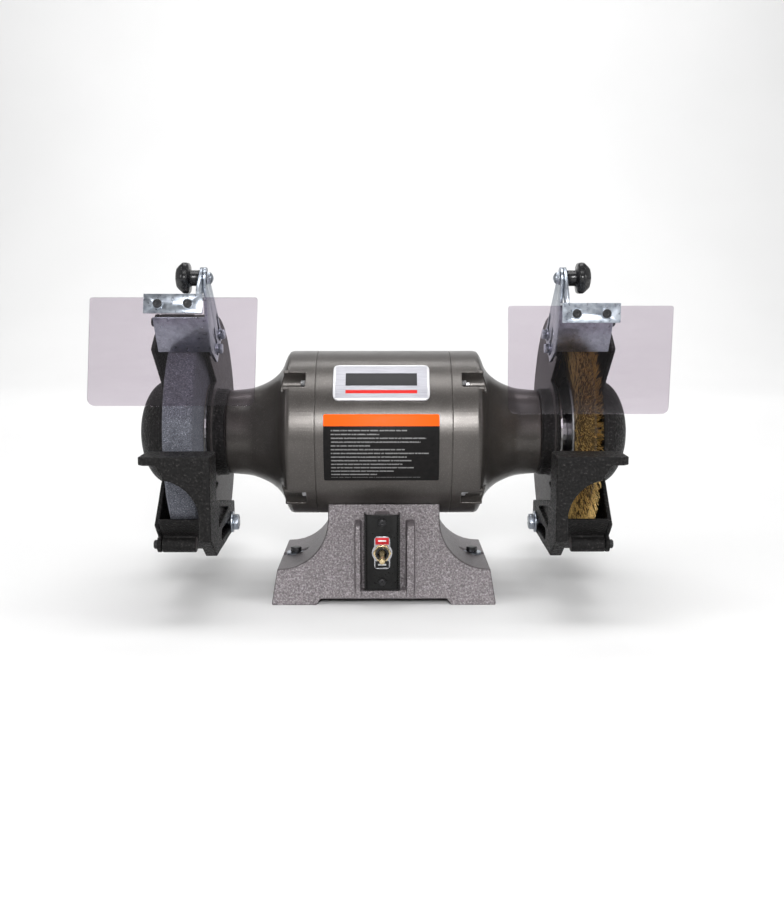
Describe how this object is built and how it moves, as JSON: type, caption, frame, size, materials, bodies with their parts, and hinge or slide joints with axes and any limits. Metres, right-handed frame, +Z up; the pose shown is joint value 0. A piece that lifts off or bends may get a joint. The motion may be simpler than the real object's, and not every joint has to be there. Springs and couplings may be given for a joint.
{
  "type": "bench grinder",
  "caption": "Bench grinder: motor on a cast pedestal turning a grinding wheel and a wire wheel, with guards, tool rests, spark deflectors and clear eye shields.",
  "frame": {"origin": "on the bench, under the middle of the shaft", "axes": "+X the user's right, along the shaft; the user stands on the -Y side; +Z up"},
  "size_m": [0.475, 0.282, 0.2991],
  "materials": {
    "body_paint": "satin dark bronze-grey paint",
    "cast_paint": "rough grey paint on a sand casting",
    "black_casting": "rough black paint on a casting",
    "zinc": "bright zinc plate",
    "steel": "machined steel",
    "black_steel": "black oxide or black paint",
    "abrasive": "coarse bonded abrasive grain",
    "brass_wire": "crimped wire",
    "brass": "polished yellow metal",
    "clear_plastic": "clear sheet with a faint mauve tint",
    "black_plastic": "moulded black",
    "silver_plate": "bright plate with a plain panel",
    "label_print": "printed film with plain bands",
    "copper": "varnished winding",
    "electrical_steel": "stacked laminations",
    "rubber": "matt black"
  },
  "bodies": {
    "stand": {"base_casting": "cast_paint", "base_cover_plate": "black_steel", "bearing_outer_left": "steel", "bearing_outer_right": "steel", "capacitor_clamp": "zinc", "cord_inlet_bush": "rubber", "end_bell_left": "body_paint", "end_bell_right": "body_paint", "foot_bolt_left": "black_steel", "foot_bolt_right": "black_steel", "guard_cover_left": "black_casting", "guard_cover_right": "black_casting", "label_plate": "label_print", "motor_shell": "body_paint", "nameplate": "silver_plate", "start_capacitor": "black_plastic", "stator_core": "electrical_steel", "stator_winding_left": "copper", "stator_winding_right": "copper", "switch_body": "black_plastic", "switch_legend_plate": "silver_plate", "switch_nut": "brass", "switch_plate": "black_steel", "through_bolt_1": "steel", "through_bolt_2": "steel", "through_bolt_3": "steel", "through_bolt_4": "steel", "tool_rest_bolt_left": "zinc", "tool_rest_bolt_right": "zinc", "tool_rest_washer_left": "zinc", "tool_rest_washer_right": "zinc", "wheel_guard_left": "black_casting", "wheel_guard_right": "black_casting"},
    "rotor": {"rotor_shaft": "steel", "rotor_core": "electrical_steel", "grinding_wheel": "abrasive", "wire_wheel_hub": "steel", "wire_wheel_spacer": "steel", "wire_wheel_bristles": "brass_wire", "bearing_inner_left": "steel", "bearing_inner_right": "steel", "inner_flange_left": "steel", "inner_flange_right": "steel", "outer_flange_left": "steel", "outer_flange_right": "steel", "arbor_nut_left": "steel", "arbor_nut_right": "steel"},
    "toggle": {"toggle_lever": "brass"},
    "rest_left": {"tool_rest_left": "black_casting"},
    "rest_right": {"tool_rest_right": "black_casting"},
    "deflector_left": {"spark_deflector_left": "zinc", "pivot_bolt_left": "zinc"},
    "shield_left": {"shield_arm_left": "zinc", "shield_pane_left": "clear_plastic"},
    "knob_left": {"clamp_knob_left": "black_plastic"},
    "deflector_right": {"spark_deflector_right": "zinc", "pivot_bolt_right": "zinc"},
    "shield_right": {"shield_arm_right": "zinc", "shield_pane_right": "clear_plastic"},
    "knob_right": {"clamp_knob_right": "black_plastic"}
  },
  "joints": [
    {"name": "arbor_spin", "type": "hinge", "parent": "stand", "child": "rotor", "pos_m": [0, 0, 0.147], "axis": [1, 0, 0], "continuous": true},
    {"name": "toggle_throw", "type": "hinge", "parent": "stand", "child": "toggle", "pos_m": [-0.0015, -0.0692, 0.048], "axis": [-1, 0, 0], "range_deg": [0, 24]},
    {"name": "rest_slide_left", "type": "slide", "parent": "stand", "child": "rest_left", "axis": [0, -1, 0], "range_m": [-0.002, 0.009]},
    {"name": "rest_slide_right", "type": "slide", "parent": "stand", "child": "rest_right", "axis": [0, -1, 0], "range_m": [-0.002, 0.009]},
    {"name": "deflector_slide_left", "type": "slide", "parent": "stand", "child": "deflector_left", "axis": [0, -0.6293, 0.7771], "range_m": [-0.0015, 0.004]},
    {"name": "shield_tilt_left", "type": "hinge", "parent": "deflector_left", "child": "shield_left", "pos_m": [-0.1505, -0.084, 0.2863], "axis": [-1, 0, 0], "range_deg": [-15, 60]},
    {"name": "knob_turn_left", "type": "hinge", "parent": "deflector_left", "child": "knob_left", "pos_m": [-0.165, -0.084, 0.2863], "axis": [1, 0, 0], "range_deg": [0, 360]},
    {"name": "deflector_slide_right", "type": "slide", "parent": "stand", "child": "deflector_right", "axis": [0, -0.6293, 0.7771], "range_m": [-0.0015, 0.004]},
    {"name": "shield_tilt_right", "type": "hinge", "parent": "deflector_right", "child": "shield_right", "pos_m": [0.1505, -0.084, 0.2863], "axis": [-1, 0, 0], "range_deg": [0, 78]},
    {"name": "knob_turn_right", "type": "hinge", "parent": "deflector_right", "child": "knob_right", "pos_m": [0.165, -0.084, 0.2863], "axis": [1, 0, 0], "range_deg": [0, 360]}
  ]
}
